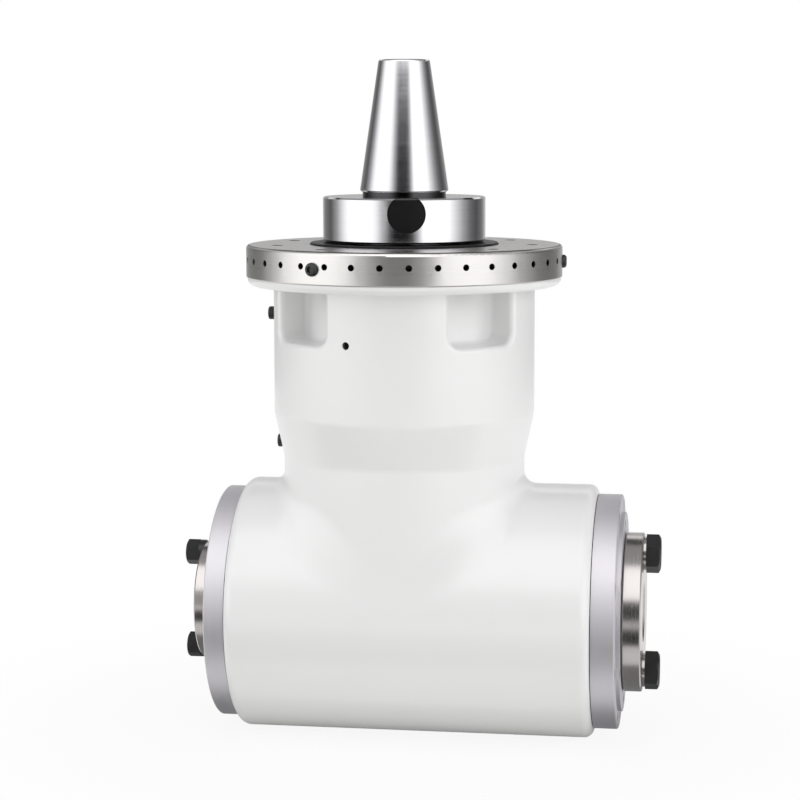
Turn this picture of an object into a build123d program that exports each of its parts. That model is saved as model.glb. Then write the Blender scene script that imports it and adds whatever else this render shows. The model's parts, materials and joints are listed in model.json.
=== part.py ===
from build123d import *
import math
import os

# Right angle milling head, in millimetres. The origin is the centre of the index ring's top face,
# which bolts up to the machine. The input line is Z and the output line runs along X below it.

os.makedirs("parts", exist_ok=True)

# Fits: a seat that stays put, a turning fit, a thread in its hole and a bolt in a clearance hole
seat_gap = 0.02
turning_gap = 0.05
thread_gap = 0.05
hole_gap = 0.5
face_gap = 0.1

# Index ring
ring_r = 125.0
ring_height = 25.5
ring_round = 3.0
ring_lower_round = 1.0
ring_recess_depth = 5.0
index_count = 36
index_hole_drop = 11.4
index_hole_r = 2.5
index_hole_depth = 10.0
index_turn = 10.0
machine_bolt_count = 9
machine_bolt_circle_r = 101.5
machine_tap_r = 4.25
machine_tap_depth = 18.0
machine_sink_r = 4.7
rim_screw_count = 3
rim_screw_turn = -125.0
rim_screw_drop = 13.5
rim_screw_r = 3.0
rim_screw_length = 12.0
rim_screw_head_r = 5.25
rim_screw_head_height = 3.3
rim_screw_head_round = 2.4

# Circular T slot in the ring, with its nuts and the bolts that clamp the head to the ring
slot_step = 13.0
slot_neck = 11.0
slot_head = 17.0
slot_neck_height = 6.0
slot_head_height = 7.5
nut_play = 0.3
nut_neck_length = 9.0
clamp_bolt_r = 5.0
clamp_bolt_head_r = 9.6
clamp_bolt_length = 19.0
clamp_washer_wall = 1.0

# Housing: flange, neck and barrel
flange_step = 1.0
flange_height = 6.5
flange_round = 5.5
neck_r = 103.5
neck_straight = 107.5
waist_r = 96.0
taper_height = 35.0
waist_round = 16.0
pocket_count = 4
pocket_turn = 45.0
pocket_width = 60.0
pocket_height = 42.0
pocket_floor_r = 74.0
pocket_round = 10.0
pocket_floor_round = 4.0
pocket_edge_round = 4.0
output_drop = 291.0
barrel_r = 100.5
barrel_left = 128.3
barrel_right = 154.9
barrel_round = 7.5
saddle_round = 10.0
port_turn = -107.0
port_drop = 72.0
port_r = 3.0
port_depth = 14.0
plug_turn = 180.0
plug_drops = (56.0, 159.0)
plug_seat_rs = (103.2, 96.4)
plug_r = 3.0
plug_length = 12.0
plug_head_r = 5.25
plug_head_height = 6.5
plug_head_round = 1.2
plug_seat_margin = 1.0

# Mitre gears
gear_module = 5.0
gear_teeth = 24
gear_face = 26.0
gear_pressure_angle = 20.0
gear_backlash = 0.16
gear_back_step = 3.75
gear_hub_r = 46.0
gear_hub_end = 81.0
gear_air = 2.5
gear_nut_width = 7.0
key_width = 14.0
key_height = 9.0
key_depth = 5.5
key_length = 28.0
nut_slot_width = 7.0
nut_slot_depth = 3.0

# Input arbor: No. 50 taper shank, drive flange and shaft
taper_gauge_r = 34.925
taper_length = 101.8
taper_per_length = 7 / 24
taper_tip_round = 2.0
taper_base_bevel = 1.2
stud_tap_r = 10.5
stud_tap_depth = 60.0
stud_mouth_r = 12.5
stud_mouth_depth = 12.0
groove_r = 33.0
groove_height = 5.0
drive_flange_r = 64.25
drive_flange_height = 34.5
drive_flange_lift = 3.0
drive_flange_bevel = 1.2
drive_slot_count = 2
drive_slot_r = 14.8
drive_slot_drop = 11.7
drive_slot_depth = 20.0
insert_setback = 1.2
insert_trim = 0.8
seal_journal_step = 3.0
upper_seat_r = 40.0
upper_thread_step = 1.0
arbor_waist_r = 36.0
lower_seat_r = 35.0
input_gear_seat_r = 30.0
input_thread_r = 25.0
input_gear_nut_r = 34.0
thread_end = 1.0

# Bearings: the bore of each is its seat on the shaft, and its section is the height of its races
# and rollers together
roller_share = 0.25
roller_length_share = 0.72
race_lip_share = 0.5
roller_count = 10
upper_section = 22.5
upper_width = 22.0
upper_bearing_top = 32.0
upper_spacer = 8.0
upper_nut_width = 10.0
upper_nut_r = 50.0
lower_section = 20.0
lower_width = 20.0
right_section = 30.0
right_width = 26.0
right_spacer = 4.0
left_section = 22.5
left_width = 21.0
left_bearing_end = 111.0
bore_shoulder = 5.5
spacer_wall = 6.0
lower_lip = 5.0
chamber_left = 70.0

# Upper cap and the black seal cover above it
pilot_step = 9.5
cap_seal_section = 11.0
cap_seal_width = 12.0
cap_neck_air = 3.0
cap_screw_count = 6
cap_screw_step = 4.5
cap_screw_r = 2.0
cap_screw_head_r = 3.5
cap_screw_head_height = 4.0
cap_screw_length = 26.0
sink_depth = 0.5
seal_cover_step = 2.3
seal_cover_margin = 0.7
seal_cover_lift = 1.5
seal_cover_bevel = 0.6
seal_cover_bore_air = 1.5
seal_cover_screw_count = 4
seal_cover_screw_circle_r = 58.5
flat_screw_r = 2.0
flat_screw_head_r = 3.9
flat_screw_length = 11.0

# Output spindle, from the right nose to the left end
nose_r = 63.0
nose_thick = 14.6
nose_face = 192.2
nose_bevel = 1.0
right_journal_r = 45.0
right_seat_r = 40.0
output_gear_seat_r = 31.0
output_thread_r = 30.0
output_gear_nut_r = 36.5
spindle_waist_r = 29.5
left_seat_r = 27.5
left_nose_seat_r = 25.0
left_thread_r = 22.5
socket_gauge_r = 22.225
socket_depth = 65.4
socket_bevel = 2.2
drawbar_r = 8.5

# End covers
cover_r = 93.0
cover_bevel = 0.8
gasket_thick = 0.6
gasket_margin = 1.0
left_cover_thick = 16.0
right_cover_thick = 18.5
left_spigot_wall = 7.0
right_spigot_wall = 10.0
right_cover_bore_air = 5.0
cover_screw_count = 8
cover_screw_turn = 22.5
cover_screw_circle_r = 86.5
cover_screw_r = 3.0
cover_screw_head_r = 5.0
cover_screw_head_height = 6.0
cover_screw_length = 20.0
right_seal_r = 57.5
right_seal_width = 12.0
left_seal_r = 46.0
left_seal_width = 10.0
seal_mouth = 1.0
labyrinth_r = 79.0
labyrinth_thick = 3.0
labyrinth_bore_air = 1.5
labyrinth_screw_count = 6
labyrinth_screw_circle_r = 71.0

# Left nose
left_nose_r = 47.0
left_hub_r = 34.0
left_nose_face = 163.5
left_nose_air = 0.9
left_recess_r = 30.5
left_recess_depth = 9.0
left_nut_r = 28.5
left_nut_width = 7.5
left_key_start = 116.0
left_key_width = 8.0
left_key_height = 7.0
left_key_depth = 4.0
left_key_length = 28.0

# Hex bolts in the noses, with their collars
nose_bolt_count = 2
right_bolt_flats = 27.0
right_bolt_head = 11.4
right_bolt_r = 8.0
right_bolt_length = 13.0
right_bolt_circle_r = 47.2
right_collar_r = 13.3
right_collar_thick = 1.7
left_bolt_flats = 18.0
left_bolt_head = 10.8
left_bolt_r = 6.0
left_bolt_length = 16.0
left_bolt_circle_r = 38.5
left_collar_r = 10.0
left_collar_thick = 4.5
bolt_dish_depth = 0.5

# Sockets and tapped holes of the screws
socket_share = 0.52
tap_reserve = 1.0

# Heights and places worked out from the sizes above
output_z = -output_drop
flange_r = ring_r - flange_step
seal_journal_r = upper_seat_r + seal_journal_step
upper_thread_r = upper_seat_r - upper_thread_step
upper_outer_r = upper_seat_r + upper_section
lower_outer_r = lower_seat_r + lower_section
right_outer_r = right_seat_r + right_section
left_outer_r = left_seat_r + left_section
cap_seal_r = seal_journal_r + cap_seal_section
cap_neck_r = seal_journal_r + cap_neck_air
pilot_r = upper_outer_r + pilot_step
cap_screw_circle_r = upper_outer_r + cap_screw_step
seal_cover_r = pilot_r + seal_cover_step
housing_top = -ring_height
flange_bottom = housing_top - flange_height
neck_bottom = housing_top - neck_straight
waist_top = neck_bottom - taper_height
recess_r = seal_cover_r + seal_cover_margin
slot_circle_r = pilot_r + slot_step
clamp_washer_rise = clamp_washer_wall * math.sqrt(2)
clamp_washer_r = clamp_bolt_head_r + thread_gap + clamp_washer_rise
slot_top = housing_top + slot_neck_height + slot_head_height
slot_shoulder = housing_top + slot_neck_height
pilot_top = -ring_recess_depth + face_gap
cap_seal_start = pilot_top - cap_seal_width
cap_screw_seat = pilot_top - cap_screw_head_height - sink_depth
flange_top = drive_flange_lift + drive_flange_height
gauge_z = flange_top + groove_height
tip_z = gauge_z + taper_length
taper_tip_r = taper_gauge_r - taper_length * taper_per_length / 2
drive_slot_z = flange_top - drive_slot_drop
drive_slot_turn = index_turn - 90
upper_starts = (-upper_bearing_top - upper_width, -upper_bearing_top - 2 * upper_width - upper_spacer)
upper_end_z = upper_starts[1]
gear_hub_z = output_z + gear_hub_end
lower_top_z = gear_hub_z + lower_width
right_starts = (gear_hub_end, gear_hub_end + right_width + right_spacer)
right_bearing_end = right_starts[1] + right_width
left_bearing_start = left_bearing_end - left_width
right_cover_in = barrel_right + gasket_thick
right_cover_out = right_cover_in + right_cover_thick
left_cover_in = barrel_left + gasket_thick
left_cover_out = left_cover_in + left_cover_thick
right_seal_start = right_cover_out - seal_mouth - right_seal_width
left_seal_start = left_cover_out - seal_mouth - left_seal_width
labyrinth_out = right_cover_out + labyrinth_thick
nose_back = nose_face - nose_thick
left_nose_back = left_cover_out + left_nose_air
left_nut_start = left_nose_face - left_recess_depth
spindle_end = left_nut_start + left_nut_width + thread_end
chamber_lip_r = left_outer_r - bore_shoulder

# Mitre gear shape, from the point where the two gear lines cross
gear_pitch_r = gear_module * gear_teeth / 2
cone_length = gear_pitch_r * math.sqrt(2)
inner_share = (cone_length - gear_face) / cone_length
addendum = gear_module
dedendum = 1.2 * gear_module
tip_step = addendum * math.sqrt(0.5)
root_step = dedendum * math.sqrt(0.5)
gear_tip_r = gear_pitch_r + tip_step
gear_tip_height = gear_pitch_r - tip_step
gear_root_r = gear_pitch_r - root_step
gear_root_height = gear_pitch_r + root_step
gear_back_height = gear_root_height + gear_back_step
gear_inner_face = gear_root_height * inner_share
gear_nut_start = gear_inner_face - gear_nut_width
chamber_r = gear_tip_r + gear_air


class CentreLine:
    """A line that round pieces are turned about, with its profile plane and the planes across it."""

    def __init__(self, origin, direction, outward):
        self.origin = Vector(*origin)
        self.direction = Vector(*direction)
        self.outward = Vector(*outward)
        self.sideways = self.outward.cross(self.direction)
        self.axis = Axis(origin, direction)
        self.profile = Plane(origin=origin, x_dir=outward, z_dir=self.sideways)

    def point(self, radius, place):
        """The point at a radius from the line and a place along it."""
        return self.origin + self.outward * radius + self.direction * place

    def across(self, place):
        """The plane square to the line at a place along it, facing along the line."""
        return Plane(self.point(0, place), x_dir=self.outward, z_dir=self.direction)


input_line = CentreLine((0, 0, 0), (0, 0, 1), (1, 0, 0))
output_line = CentreLine((0, 0, output_z), (1, 0, 0), (0, 0, 1))
left_line = CentreLine((0, 0, output_z), (-1, 0, 0), (0, 0, 1))
drive_gear_line = CentreLine((0, 0, output_z), (0, 0, 1), (1, 0, 0))


def turn(line, points, rounds=(), bevels=(), mode=Mode.ADD):
    """Revolve a profile of (radius, place) points about a line, with some corners rounded or bevelled."""
    with BuildSketch(line.profile) as profile:
        with BuildLine():
            Polyline(*points, close=True)
        make_face()
        for corner, size in rounds:
            fillet(profile.vertices().sort_by_distance(corner)[0], size)
        for corner, size in bevels:
            chamfer(profile.vertices().sort_by_distance(corner)[0], size)
    revolve(profile.sketch, axis=line.axis, mode=mode)


def ring(line, bore, outside, start, end, mode=Mode.ADD):
    """Turn a plain ring between two places on a line."""
    turn(line, [(bore, start), (outside, start), (outside, end), (bore, end)], mode=mode)


def spacer(line, bore, outside, start, end):
    """A plain ring as a piece of its own."""
    with BuildPart() as piece:
        ring(line, bore, outside, start, end)
    return piece.part


def drill(radius, depth):
    """Cut a radial hole inwards from each current place, whose X points outwards."""
    Cylinder(
        radius,
        depth,
        rotation=(0, 90, 0),
        align=(Align.CENTER, Align.CENTER, Align.MAX),
        mode=Mode.SUBTRACT,
    )


def bearings(line, bore, outside, width, starts):
    """Inner races, outer races and rollers of the bearings that start at places on a line."""
    pitch_r = (bore + outside) / 2
    roller_r = (outside - bore) * roller_share
    track = roller_r + turning_gap
    lip = roller_r * race_lip_share
    length = width * roller_length_share
    edge = (width - length) / 2
    with BuildPart() as inner:
        for start in starts:
            ring(line, bore + seat_gap, pitch_r - lip, start, start + width)
            track_start = start + edge - turning_gap
            track_end = start + width - edge + turning_gap
            ring(line, pitch_r - track, pitch_r, track_start, track_end, mode=Mode.SUBTRACT)
    with BuildPart() as outer:
        for start in starts:
            ring(line, pitch_r + track, outside - seat_gap, start, start + width)
    with BuildPart() as rollers:
        for start in starts:
            with Locations(line.across(start + edge)), PolarLocations(pitch_r, roller_count):
                Cylinder(roller_r, length, align=(Align.CENTER, Align.CENTER, Align.MIN))
    return inner.part, outer.part, rollers.part


def lip_seal(line, shaft, outside, start, width):
    """A rubber shaft seal: an outer wall, a web and a lip that runs close round the shaft."""
    wall = width / 4
    lip = shaft + turning_gap
    points = [
        (lip, start + wall),
        (lip + wall / 2, start),
        (lip + 2 * wall, start + width - wall),
        (outside - wall, start + width - wall),
        (outside - wall, start),
        (outside - seat_gap, start),
        (outside - seat_gap, start + width),
        (lip + wall, start + width),
    ]
    with BuildPart() as seal:
        turn(line, points)
    return seal.part


def slotted_nut(line, bore, outside, start, width):
    """A round locknut with four spanner slots in its rim."""
    with BuildPart(line.across(start)) as nut:
        Cylinder(outside, width, align=(Align.CENTER, Align.CENTER, Align.MIN))
        Cylinder(bore + thread_gap, 3 * width, mode=Mode.SUBTRACT)
        with PolarLocations(outside, 4):
            Box(2 * nut_slot_depth, nut_slot_width, 3 * width, mode=Mode.SUBTRACT)
    return nut.part


def key_block(line, seat, start, length, width, height, depth, clearance=0.0):
    """A round ended key along a line, sunk by its depth below a seat."""
    bed = line.point(seat - depth, start + length / 2)
    with BuildPart() as block:
        with BuildSketch(Plane(bed, x_dir=line.direction, z_dir=line.outward)):
            SlotOverall(length + 2 * clearance, width + 2 * clearance)
        extrude(amount=height)
    return block.part


def keyway(line, seat, start, end, width, rise):
    """Cut a straight slot outwards from a bore, all the way along a hub."""
    with BuildSketch(line.across(start)) as slot:
        with Locations(((seat + rise) / 2, 0)):
            Rectangle(seat + rise, width + 2 * seat_gap)
    extrude(slot.sketch, amount=end - start, mode=Mode.SUBTRACT)


def socket_screw(shank, length, head, head_height, rounding=0.0):
    """A socket head screw along +Z, with its head standing on Z = 0."""
    with BuildPart() as screw:
        Cylinder(head, head_height, align=(Align.CENTER, Align.CENTER, Align.MIN))
        if rounding:
            fillet(screw.edges().group_by(Axis.Z)[-1], rounding)
        with BuildSketch(Plane.XY.offset(head_height)):
            RegularPolygon(head * socket_share, 6)
        extrude(amount=-head_height * socket_share, mode=Mode.SUBTRACT)
        Cylinder(shank, length, align=(Align.CENTER, Align.CENTER, Align.MAX))
    return screw.part


def flush_screw(shank, length, head):
    """A countersunk screw along +Z, flush with Z = 0."""
    sink = head - shank
    with BuildPart() as screw:
        Cylinder(shank, length, align=(Align.CENTER, Align.CENTER, Align.MAX))
        Cone(shank, head, sink, align=(Align.CENTER, Align.CENTER, Align.MAX))
        with BuildSketch():
            RegularPolygon(head * socket_share, 6)
        extrude(amount=-sink, mode=Mode.SUBTRACT)
    return screw.part


def flat_screw_holes(depth):
    """Countersunk holes at the current places, a thread's gap wider than the screws."""
    CounterSinkHole(
        flat_screw_r + thread_gap,
        flat_screw_head_r + thread_gap,
        depth,
        counter_sink_angle=90,
    )


def hex_bolt(flats, head_height, shank, length, dish=0.0):
    """A hex bolt along +Z, its head standing on Z = 0 and bevelled at the top, with a dished face."""
    face_r = flats * 0.46
    with BuildPart() as bolt:
        with BuildSketch():
            RegularPolygon(flats / math.sqrt(3), 6)
        extrude(amount=head_height)
        Cone(
            face_r + head_height * math.sqrt(3),
            face_r,
            head_height,
            align=(Align.CENTER, Align.CENTER, Align.MIN),
            mode=Mode.INTERSECT,
        )
        if dish:
            with Locations((0, 0, head_height)):
                Hole(face_r - 2 * dish, depth=dish)
        Cylinder(shank, length, align=(Align.CENTER, Align.CENTER, Align.MAX))
    return bolt.part


def gap_half_width(height):
    """Half the space between two involute teeth, at a height above the pitch line of the large end."""
    pressure = math.radians(gear_pressure_angle)
    base_r = cone_length * math.cos(pressure)
    radius = cone_length + height
    half_angle = gear_module * math.pi / 4 / cone_length - (math.tan(pressure) - pressure)
    if radius > base_r:
        roll = math.acos(base_r / radius)
        half_angle += math.tan(roll) - roll
    return radius * math.sin(half_angle) + gear_backlash


def tooth_space(line):
    """The space between two teeth: one profile lofted along the pitch cone towards the crossing point."""
    slope = (line.outward + line.direction) * math.sqrt(0.5)
    crest_height = 1.6 * addendum
    with BuildPart() as space:
        for share in (inner_share * 0.85, 1.15):
            foot, pitch, tip, crest = [
                Vector(gap_half_width(height), height) * share
                for height in (-dedendum, 0, addendum, crest_height)
            ]
            plane = Plane(line.origin + slope * (cone_length * share), x_dir=line.sideways, z_dir=slope)
            with BuildSketch(plane):
                with BuildLine():
                    ThreePointArc(foot, pitch, tip)
                    Line(tip, crest)
                    mirror(about=Plane.YZ)
                    Line(foot, (-foot.X, foot.Y))
                    Line(crest, (-crest.X, crest.Y))
                make_face()
        loft(ruled=True)
    return space.part


def mitre_gear(line, bore, phase):
    """A 45 degree bevel gear on a line, its teeth turned by a phase in tooth pitches, with a keyed hub."""
    pitch_angle = 360 / gear_teeth
    space = tooth_space(line)
    spaces = [space.rotate(line.axis, (count + phase) * pitch_angle) for count in range(gear_teeth)]
    blank = [
        (bore + seat_gap, gear_inner_face),
        (gear_root_r * inner_share, gear_inner_face),
        (gear_tip_r * inner_share, gear_tip_height * inner_share),
        (gear_tip_r, gear_tip_height),
        (gear_root_r - gear_back_step, gear_back_height),
        (gear_hub_r, gear_back_height),
        (gear_hub_r, gear_hub_end),
        (bore + seat_gap, gear_hub_end),
    ]
    with BuildPart() as gear:
        turn(line, blank)
        add(spaces, mode=Mode.SUBTRACT)
        keyway(line, bore, gear_inner_face, gear_hub_end, key_width, key_height - key_depth + face_gap)
    return gear.part


def gear_key(line, seat, clearance=0.0):
    """The key between a gear and its shaft, in the middle of the gear's bore."""
    start = (gear_inner_face + gear_hub_end - key_length) / 2
    return key_block(line, seat, start, key_length, key_width, key_height, key_depth, clearance)


def left_nose_key_block(clearance=0.0):
    """The key between the left nose and the spindle."""
    return key_block(
        left_line,
        left_nose_seat_r,
        left_key_start,
        left_key_length,
        left_key_width,
        left_key_height,
        left_key_depth,
        clearance,
    )


def cover_screw_places(line, place):
    """The places of an end cover's screws on a plane across its line."""
    return [
        line.across(place).location * spot
        for spot in PolarLocations(cover_screw_circle_r, cover_screw_count, start_angle=cover_screw_turn)
    ]


# Index ring: pilot bore, recess for the seal cover, T slot, index holes and the machine's bolt holes
with BuildPart() as index_ring:
    turn(
        input_line,
        [
            (pilot_r + turning_gap, housing_top),
            (ring_r, housing_top),
            (ring_r, 0),
            (recess_r, 0),
            (recess_r, -ring_recess_depth),
            (pilot_r + turning_gap, -ring_recess_depth),
        ],
        rounds=[((ring_r, 0), ring_round), ((ring_r, housing_top), ring_lower_round)],
    )
    turn(
        input_line,
        [
            (slot_circle_r - slot_neck / 2, housing_top),
            (slot_circle_r + slot_neck / 2, housing_top),
            (slot_circle_r + slot_neck / 2, slot_shoulder),
            (slot_circle_r + slot_head / 2, slot_shoulder),
            (slot_circle_r + slot_head / 2, slot_top),
            (slot_circle_r - slot_head / 2, slot_top),
            (slot_circle_r - slot_head / 2, slot_shoulder),
            (slot_circle_r - slot_neck / 2, slot_shoulder),
        ],
        mode=Mode.SUBTRACT,
    )
    with Locations((0, 0, slot_shoulder)), PolarLocations(slot_circle_r, 1, start_angle=index_turn):
        Hole(slot_head / 2, depth=slot_neck_height)
    with PolarLocations(machine_bolt_circle_r, machine_bolt_count, start_angle=index_turn - 90):
        CounterSinkHole(machine_tap_r, machine_sink_r, machine_tap_depth, counter_sink_angle=90)
    with Locations((0, 0, -index_hole_drop)):
        with PolarLocations(ring_r, index_count, start_angle=index_turn):
            drill(index_hole_r, index_hole_depth)
    with Locations((0, 0, -rim_screw_drop)):
        with PolarLocations(ring_r, rim_screw_count, start_angle=rim_screw_turn + index_turn):
            drill(rim_screw_r + thread_gap, rim_screw_length + tap_reserve)

rim_screw = socket_screw(
    rim_screw_r, rim_screw_length, rim_screw_head_r, rim_screw_head_height, rim_screw_head_round
)
with BuildPart() as rim_screws:
    with Locations((0, 0, -rim_screw_drop)):
        with PolarLocations(ring_r, rim_screw_count, start_angle=rim_screw_turn + index_turn):
            add(rim_screw, rotation=(0, 90, 0))

# Pocket in the neck, under the flange, that gives access to a clamp bolt
clamp_plane = Plane((0, 0, flange_bottom), x_dir=(1, 0, 0), z_dir=(0, 0, -1))
pocket_middle_z = flange_bottom - pocket_height / 2
pocket_plane = Plane((pocket_floor_r, 0, pocket_middle_z), x_dir=(0, 1, 0), z_dir=(1, 0, 0))
with BuildPart() as pocket:
    with BuildSketch(pocket_plane) as pocket_mouth:
        Rectangle(pocket_width, pocket_height)
        fillet(pocket_mouth.vertices().group_by(Axis.Y)[0], pocket_round)
    extrude(amount=flange_r - pocket_floor_r)
    pocket_floor = pocket.faces().sort_by(Axis.X)[0]
    fillet(pocket_floor.edges().sort_by(Axis.Z)[:-1], pocket_floor_round)


def on_pocket_mouth(edge):
    """Whether an edge lies where a side or the bottom of a pocket runs out through the neck."""
    middle = edge.center()
    return (
        pocket_floor_round < flange_bottom - middle.Z < pocket_height + pocket_floor_round
        and abs(math.hypot(middle.X, middle.Y) - neck_r) < face_gap
    )


# Housing: one casting with a flange, a neck and a barrel, bored through along both lines
with BuildPart() as housing:
    turn(
        input_line,
        [
            (0, housing_top),
            (flange_r, housing_top),
            (flange_r, flange_bottom),
            (neck_r, flange_bottom),
            (neck_r, neck_bottom),
            (waist_r, waist_top),
            (waist_r, output_z),
            (0, output_z),
        ],
        rounds=[
            ((flange_r, flange_bottom), flange_round),
            ((neck_r, neck_bottom), waist_round),
            ((waist_r, waist_top), waist_round),
        ],
    )
    turn(
        output_line,
        [(0, -barrel_left), (barrel_r, -barrel_left), (barrel_r, barrel_right), (0, barrel_right)],
        rounds=[((barrel_r, -barrel_left), barrel_round), ((barrel_r, barrel_right), barrel_round)],
    )
    turned_edges = (GeomType.LINE, GeomType.CIRCLE)
    saddle = housing.edges(Select.NEW).filter_by(lambda edge: edge.geom_type not in turned_edges)
    fillet(saddle, saddle_round)
    with PolarLocations(0, pocket_count, start_angle=pocket_turn):
        add(pocket.part, mode=Mode.SUBTRACT)
    fillet(housing.edges().filter_by(on_pocket_mouth), pocket_edge_round)
    turn(
        input_line,
        [
            (0, housing_top),
            (upper_outer_r, housing_top),
            (upper_outer_r, upper_end_z),
            (upper_outer_r - bore_shoulder, upper_end_z),
            (upper_outer_r - bore_shoulder, lower_top_z),
            (lower_outer_r, lower_top_z),
            (lower_outer_r, gear_hub_z),
            (lower_outer_r - bore_shoulder, gear_hub_z),
            (lower_outer_r - bore_shoulder, gear_hub_z - lower_lip),
            (chamber_r, gear_hub_z - lower_lip),
            (chamber_r, output_z),
            (0, output_z),
        ],
        mode=Mode.SUBTRACT,
    )
    turn(
        output_line,
        [
            (0, -barrel_left),
            (left_outer_r, -barrel_left),
            (left_outer_r, -left_bearing_start),
            (chamber_lip_r, -left_bearing_start),
            (chamber_lip_r, -chamber_left),
            (chamber_r, -chamber_left),
            (chamber_r, gear_hub_end),
            (right_outer_r, gear_hub_end),
            (right_outer_r, barrel_right),
            (0, barrel_right),
        ],
        mode=Mode.SUBTRACT,
    )
    with Locations(clamp_plane), PolarLocations(slot_circle_r, pocket_count, start_angle=pocket_turn):
        CounterSinkHole(
            clamp_bolt_r + hole_gap,
            clamp_washer_r + thread_gap,
            flange_height,
            counter_sink_angle=90,
        )
    with Locations((0, 0, housing_top)):
        with PolarLocations(cap_screw_circle_r, cap_screw_count):
            cap_screw_reach = cap_screw_length + tap_reserve - cap_screw_seat
            Hole(cap_screw_r + thread_gap, depth=cap_screw_reach + housing_top)
    with Locations((0, 0, -port_drop)), PolarLocations(neck_r, 1, start_angle=port_turn):
        drill(port_r, port_depth)
    for drop, seat in zip(plug_drops, plug_seat_rs):
        with Locations((0, 0, -drop)):
            with PolarLocations(seat + plug_head_height, 1, start_angle=plug_turn):
                drill(plug_head_r + plug_seat_margin, plug_head_height)
            with PolarLocations(seat, 1, start_angle=plug_turn):
                drill(plug_r + thread_gap, plug_length + tap_reserve)
    cover_screw_reach = (
        cover_screw_length + cover_screw_head_height + sink_depth + tap_reserve - gasket_thick
    )
    with Locations(*cover_screw_places(output_line, barrel_right)):
        Hole(cover_screw_r + thread_gap, depth=cover_screw_reach - right_cover_thick)
    with Locations(*cover_screw_places(left_line, barrel_left)):
        Hole(cover_screw_r + thread_gap, depth=cover_screw_reach - left_cover_thick)

plug = socket_screw(plug_r, plug_length, plug_head_r, plug_head_height, plug_head_round)
with BuildPart() as lube_plugs:
    for drop, seat in zip(plug_drops, plug_seat_rs):
        with Locations((0, 0, -drop)), PolarLocations(seat, 1, start_angle=plug_turn):
            add(plug, rotation=(0, 90, 0))

# Clamp: T nuts in the ring's slot, and flush screws with cone washers from the pockets below
with BuildPart() as t_nuts:
    with Locations((0, 0, slot_shoulder + face_gap)):
        with PolarLocations(slot_circle_r, pocket_count, start_angle=pocket_turn):
            nut_head_height = slot_head_height - nut_play - face_gap
            nut_neck_height = slot_neck_height - nut_play + face_gap
            nut_r = slot_head / 2 - nut_play
            Cylinder(nut_r, nut_head_height, align=(Align.CENTER, Align.CENTER, Align.MIN))
            Box(
                slot_neck - 2 * nut_play,
                nut_neck_length,
                nut_neck_height - face_gap,
                align=(Align.CENTER, Align.CENTER, Align.MAX),
            )
            Cylinder(clamp_bolt_r + thread_gap, 3 * slot_head_height, mode=Mode.SUBTRACT)

clamp_bolt = flush_screw(clamp_bolt_r, clamp_bolt_length, clamp_bolt_head_r)
with BuildPart(clamp_plane) as clamp_bolts:
    with PolarLocations(slot_circle_r, pocket_count, start_angle=pocket_turn):
        add(clamp_bolt)

# Each washer is a cone between the flange's countersink and the screw's head
clamp_sink = clamp_bolt_head_r - clamp_bolt_r
with BuildPart() as clamp_washer:
    turn(
        input_line,
        [
            (clamp_bolt_head_r + thread_gap, 0),
            (clamp_washer_r, 0),
            (clamp_washer_r - clamp_sink, -clamp_sink),
            (clamp_bolt_r + thread_gap, -clamp_sink),
        ],
    )
with BuildPart(clamp_plane) as clamp_washers:
    with PolarLocations(slot_circle_r, pocket_count, start_angle=pocket_turn):
        add(clamp_washer.part)

# Upper cap: pilots the ring, clamps the upper bearings and holds the input seal
with BuildPart() as upper_cap:
    turn(
        input_line,
        [
            (cap_neck_r, housing_top),
            (upper_outer_r - bore_shoulder, housing_top),
            (upper_outer_r - bore_shoulder, -upper_bearing_top),
            (upper_outer_r - turning_gap, -upper_bearing_top),
            (upper_outer_r - turning_gap, housing_top),
            (pilot_r, housing_top),
            (pilot_r, pilot_top),
            (cap_seal_r, pilot_top),
            (cap_seal_r, cap_seal_start),
            (cap_neck_r, cap_seal_start),
        ],
    )
    with Locations((0, 0, pilot_top)):
        with PolarLocations(cap_screw_circle_r, cap_screw_count):
            CounterBoreHole(
                cap_screw_r + hole_gap / 2,
                cap_screw_head_r + hole_gap / 2,
                cap_screw_head_height + sink_depth,
                pilot_top - housing_top,
            )
        with PolarLocations(seal_cover_screw_circle_r, seal_cover_screw_count, start_angle=pocket_turn):
            cover_tap_reach = flat_screw_length + tap_reserve - seal_cover_lift
            Hole(flat_screw_r + thread_gap, depth=cover_tap_reach + pilot_top)

cap_screw = socket_screw(cap_screw_r, cap_screw_length, cap_screw_head_r, cap_screw_head_height)
with BuildPart() as upper_cap_screws:
    with Locations((0, 0, cap_screw_seat)), PolarLocations(cap_screw_circle_r, cap_screw_count):
        add(cap_screw)

input_seal = lip_seal(input_line, seal_journal_r, cap_seal_r, cap_seal_start, cap_seal_width)

with BuildPart() as seal_cover:
    seal_cover_bore = seal_journal_r + seal_cover_bore_air
    turn(
        input_line,
        [
            (seal_cover_bore, pilot_top),
            (seal_cover_r, pilot_top),
            (seal_cover_r, seal_cover_lift),
            (seal_cover_bore, seal_cover_lift),
        ],
        bevels=[((seal_cover_r, seal_cover_lift), seal_cover_bevel)],
    )
    with Locations((0, 0, seal_cover_lift)):
        with PolarLocations(seal_cover_screw_circle_r, seal_cover_screw_count, start_angle=pocket_turn):
            flat_screw_holes(seal_cover_lift - pilot_top)

flat_screw = flush_screw(flat_screw_r, flat_screw_length, flat_screw_head_r)
with BuildPart() as seal_cover_screws:
    with Locations((0, 0, seal_cover_lift)):
        with PolarLocations(seal_cover_screw_circle_r, seal_cover_screw_count, start_angle=pocket_turn):
            add(flat_screw)

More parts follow.
